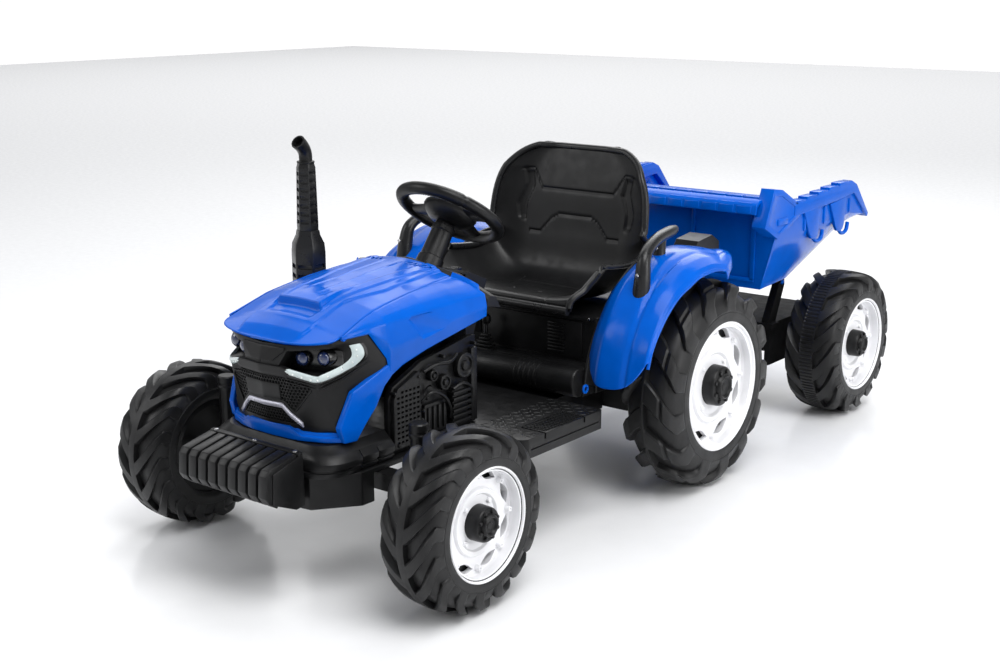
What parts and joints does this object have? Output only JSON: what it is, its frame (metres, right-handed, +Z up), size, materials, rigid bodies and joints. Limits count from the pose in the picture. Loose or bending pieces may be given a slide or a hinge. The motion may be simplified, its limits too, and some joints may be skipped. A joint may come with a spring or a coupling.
{
  "type": "ride-on toy tractor with tipping trailer",
  "caption": "Ride-on toy tractor with steering front wheels, bucket seat, roof-free cab and a hitched tipping trailer.",
  "frame": {"origin": "on the ground under the centre of the whole tractor and trailer", "axes": "+Z up, the tractor's front faces -Y with the trailer towards +Y, and +X is the driver's left"},
  "size_m": [0.701, 1.647, 0.6526],
  "materials": {
    "blue_shell": "glossy saturated blue moulded plastic",
    "black_plastic": "satin black moulded plastic",
    "tyre_black": "black soft-sheen tyre",
    "rim_white": "white semi-gloss plastic",
    "silver_trim": "silver painted plastic",
    "lamp_clear": "clear lens over a pale reflector",
    "led_white": "milky light strip",
    "steel": "plain steel, blackened where painted"
  },
  "bodies": {
    "tractor": {"battery": "black_plastic", "bonnet_shell": "blue_shell", "bonnet_top": "blue_shell", "chassis_tray": "black_plastic", "dash_panel": "black_plastic", "engine_cover_left": "black_plastic", "engine_cover_right": "black_plastic", "exhaust_stack": "black_plastic", "face_mask": "black_plastic", "fender_left": "blue_shell", "fender_right": "blue_shell", "footboard": "black_plastic", "front_beam": "steel", "front_bumper": "black_plastic", "gearbox_left": "black_plastic", "gearbox_right": "black_plastic", "grab_handle_left": "black_plastic", "grab_handle_right": "black_plastic", "grille_strip": "silver_trim", "headlamp_left": "lamp_clear", "headlamp_right": "lamp_clear", "hitch_bracket": "black_plastic", "hitch_pin": "steel", "led_strip_left": "led_white", "led_strip_right": "led_white", "nose_skirt": "black_plastic", "rear_axle": "steel", "rear_deck": "black_plastic", "seat": "black_plastic", "seat_box": "black_plastic"},
    "steering": {"steering_wheel": "black_plastic", "steering_shaft": "steel"},
    "horn": {"horn_button": "black_plastic"},
    "tie_rod": {"tie_rod": "steel"},
    "knuckle_left": {"knuckle_left": "black_plastic"},
    "knuckle_right": {"knuckle_right": "black_plastic"},
    "pedal": {"pedal": "black_plastic"},
    "power_button": {"power_button": "silver_trim"},
    "direction_switch": {"direction_switch": "silver_trim"},
    "trailer": {"trailer_frame": "black_plastic", "trailer_axle": "steel"},
    "tub": {"tub": "blue_shell"},
    "front_wheel_left": {"front_tyre_left": "tyre_black", "front_rim_left": "rim_white", "front_hub_cap_left": "black_plastic"},
    "front_wheel_right": {"front_tyre_right": "tyre_black", "front_rim_right": "rim_white", "front_hub_cap_right": "black_plastic"},
    "rear_wheel_left": {"rear_tyre_left": "tyre_black", "rear_rim_left": "rim_white", "rear_hub_cap_left": "black_plastic"},
    "rear_wheel_right": {"rear_tyre_right": "tyre_black", "rear_rim_right": "rim_white", "rear_hub_cap_right": "black_plastic"},
    "trailer_wheel_left": {"trailer_tyre_left": "tyre_black", "trailer_rim_left": "rim_white", "trailer_hub_cap_left": "black_plastic"},
    "trailer_wheel_right": {"trailer_tyre_right": "tyre_black", "trailer_rim_right": "rim_white", "trailer_hub_cap_right": "black_plastic"}
  },
  "joints": [
    {"name": "steer", "type": "hinge", "parent": "tractor", "child": "steering", "pos_m": [0, -0.2945, 0.519], "axis": [0, 0.5807, 0.8141], "range_deg": [-45, 45]},
    {"name": "horn_press", "type": "slide", "parent": "steering", "child": "horn", "axis": [0, -0.5807, -0.8141], "range_m": [0, 0.0025], "stiffness_N_per_m": 400, "springref_m": -0.0015},
    {"name": "kingpin_left", "type": "hinge", "parent": "tractor", "child": "knuckle_left", "pos_m": [0.211, -0.6215, 0.19], "axis": [0, 0, 1], "range_deg": [-26, 26]},
    {"name": "kingpin_right", "type": "hinge", "parent": "tractor", "child": "knuckle_right", "pos_m": [-0.211, -0.6215, 0.19], "axis": [0, 0, 1], "range_deg": [-26, 26]},
    {"name": "tie_rod_slide", "type": "slide", "parent": "tractor", "child": "tie_rod", "axis": [1, 0, 0], "range_m": [-0.0216, 0.0216]},
    {"name": "front_spin_left", "type": "hinge", "parent": "knuckle_left", "child": "front_wheel_left", "pos_m": [0.3, -0.6215, 0.139], "axis": [1, 0, 0], "continuous": true},
    {"name": "rear_spin_left", "type": "hinge", "parent": "tractor", "child": "rear_wheel_left", "pos_m": [0.28, 0.0685, 0.19], "axis": [1, 0, 0], "continuous": true},
    {"name": "trailer_spin_left", "type": "hinge", "parent": "trailer", "child": "trailer_wheel_left", "pos_m": [0.28, 0.6575, 0.151], "axis": [1, 0, 0], "continuous": true},
    {"name": "front_spin_right", "type": "hinge", "parent": "knuckle_right", "child": "front_wheel_right", "pos_m": [-0.3, -0.6215, 0.139], "axis": [1, 0, 0], "continuous": true},
    {"name": "rear_spin_right", "type": "hinge", "parent": "tractor", "child": "rear_wheel_right", "pos_m": [-0.28, 0.0685, 0.19], "axis": [1, 0, 0], "continuous": true},
    {"name": "trailer_spin_right", "type": "hinge", "parent": "trailer", "child": "trailer_wheel_right", "pos_m": [-0.28, 0.6575, 0.151], "axis": [1, 0, 0], "continuous": true},
    {"name": "pedal_press", "type": "hinge", "parent": "tractor", "child": "pedal", "pos_m": [-0.17, -0.2765, 0.2085], "axis": [1, 0, 0], "range_deg": [0, 15], "stiffness_Nm_per_rad": 0.8, "springref_deg": -6.88},
    {"name": "power_press", "type": "slide", "parent": "tractor", "child": "power_button", "axis": [0, 0, -1], "range_m": [0, 0.0022], "stiffness_N_per_m": 400, "springref_m": -0.0015},
    {"name": "direction_rock", "type": "hinge", "parent": "tractor", "child": "direction_switch", "pos_m": [-0.053, -0.351, 0.433], "axis": [1, 0, 0], "range_deg": [-9, 9]},
    {"name": "drawbar_yaw", "type": "hinge", "parent": "tractor", "child": "trailer", "pos_m": [0, 0.2935, 0.166], "axis": [0, 0, 1], "range_deg": [-24, 24]},
    {"name": "tub_tip", "type": "hinge", "parent": "trailer", "child": "tub", "pos_m": [0, 0.5735, 0.28], "axis": [-1, 0, 0], "range_deg": [0, 26]}
  ],
  "couplings": [
    {"joint": "kingpin_left", "follows": "steer", "ratio": 0.558},
    {"joint": "kingpin_right", "follows": "steer", "ratio": 0.558},
    {"joint": "tie_rod_slide", "follows": "steer", "m_per_rad": -0.027}
  ]
}
